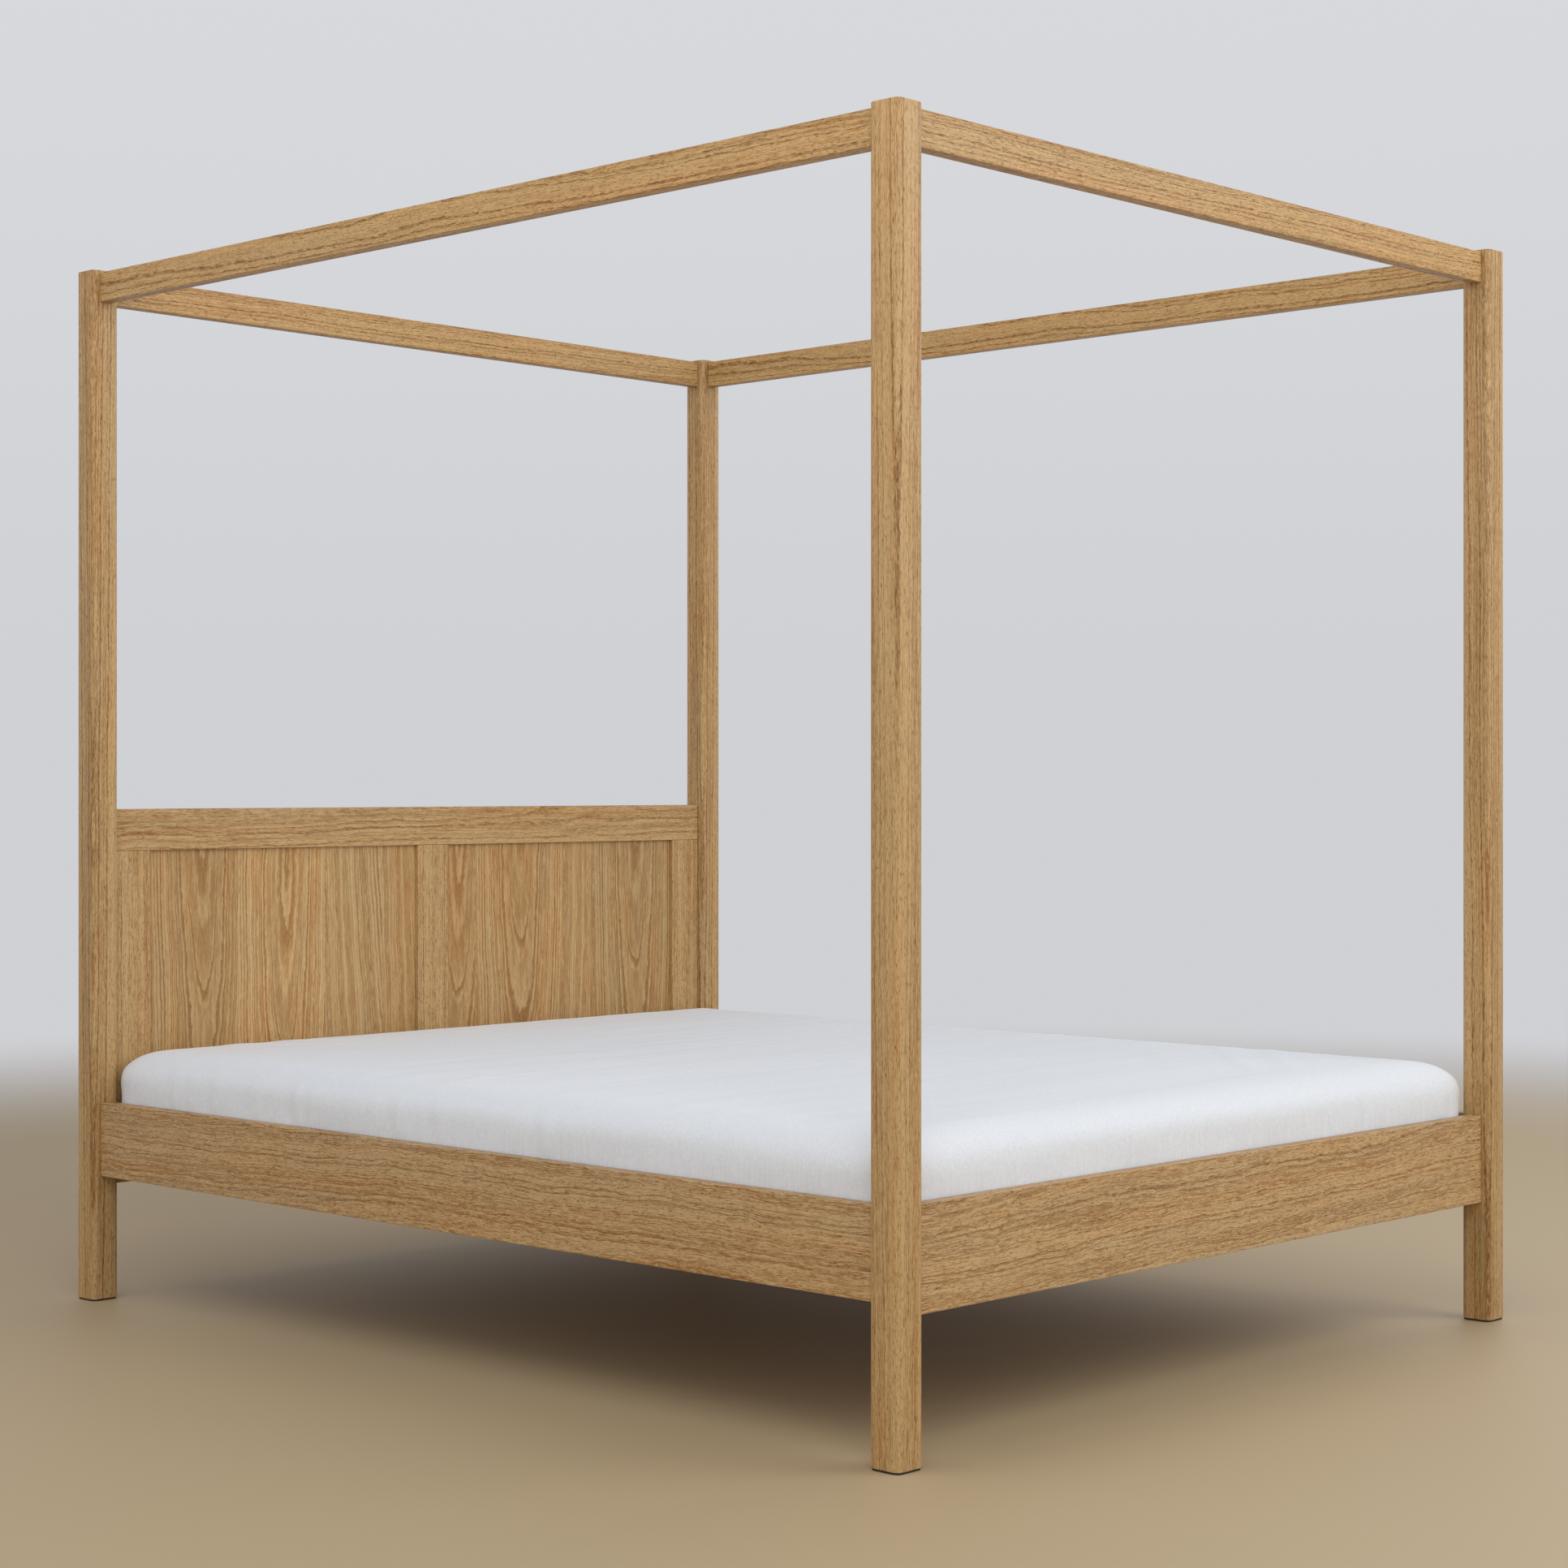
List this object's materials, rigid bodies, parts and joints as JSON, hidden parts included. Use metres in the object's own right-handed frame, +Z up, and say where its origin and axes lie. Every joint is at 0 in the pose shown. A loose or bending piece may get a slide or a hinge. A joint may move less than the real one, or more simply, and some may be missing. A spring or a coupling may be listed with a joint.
{
  "type": "four poster canopy bed",
  "caption": "Open-frame oak four poster bed: square posts joined by a slim canopy frame, panelled headboard, low side and foot rails, slatted base, and a mattress in a white fitted sheet.",
  "frame": {"origin": "on the floor under the middle of the bed", "axes": "+Z up, +Y along the bed towards the headboard, +X across the bed to the right-hand side as seen from its foot"},
  "size_m": [1.752, 2.166, 2.032],
  "materials": {
    "oak": "satin",
    "oak_panel": "satin",
    "slat_wood": "matte",
    "black_steel": "satin",
    "zinc_steel": "satin",
    "black_plastic": "matte",
    "webbing": "matte",
    "mattress_cover": "matte"
  },
  "bodies": {
    "frame": {"beam_cradle_foot": "black_steel", "beam_cradle_head": "black_steel", "canopy_dowel_foot_left": "zinc_steel", "canopy_dowel_foot_right": "zinc_steel", "canopy_dowel_head_left": "zinc_steel", "canopy_dowel_head_right": "zinc_steel", "canopy_dowel_left_foot": "zinc_steel", "canopy_dowel_left_head": "zinc_steel", "canopy_dowel_right_foot": "zinc_steel", "canopy_dowel_right_head": "zinc_steel", "canopy_rail_foot": "oak", "canopy_rail_head": "oak", "canopy_rail_left": "oak", "canopy_rail_right": "oak", "centre_beam": "slat_wood", "centre_leg": "black_steel", "foot_pad_foot_left": "black_plastic", "foot_pad_foot_right": "black_plastic", "foot_pad_head_left": "black_plastic", "foot_pad_head_right": "black_plastic", "foot_rail": "oak", "headboard_bottom_rail": "oak", "headboard_panel_left": "oak_panel", "headboard_panel_right": "oak_panel", "headboard_stile_centre": "oak", "headboard_stile_left": "oak", "headboard_stile_right": "oak", "headboard_top_rail": "oak", "leg_lock_nut": "zinc_steel", "post_foot_left": "oak", "post_foot_right": "oak", "post_head_left": "oak", "post_head_right": "oak", "rail_hook_foot_left": "zinc_steel", "rail_hook_foot_right": "zinc_steel", "rail_hook_head_left": "zinc_steel", "rail_hook_head_right": "zinc_steel", "side_rail_left": "oak", "side_rail_right": "oak", "slat_01": "slat_wood", "slat_02": "slat_wood", "slat_03": "slat_wood", "slat_04": "slat_wood", "slat_05": "slat_wood", "slat_06": "slat_wood", "slat_07": "slat_wood", "slat_08": "slat_wood", "slat_09": "slat_wood", "slat_10": "slat_wood", "slat_11": "slat_wood", "slat_12": "slat_wood", "slat_13": "slat_wood", "slat_14": "slat_wood", "slat_ledger_left": "slat_wood", "slat_ledger_right": "slat_wood", "slat_tape_left": "webbing", "slat_tape_right": "webbing"},
    "mattress": {"mattress": "mattress_cover"},
    "levelling_foot": {"levelling_foot": "black_plastic"}
  },
  "joints": [
    {"name": "mattress_lift", "type": "slide", "parent": "frame", "child": "mattress", "axis": [0, 0, 1], "range_m": [0, 0.3]},
    {"name": "levelling_foot_travel", "type": "slide", "parent": "frame", "child": "levelling_foot", "axis": [0, 0, 1], "range_m": [0, 0.012]}
  ]
}
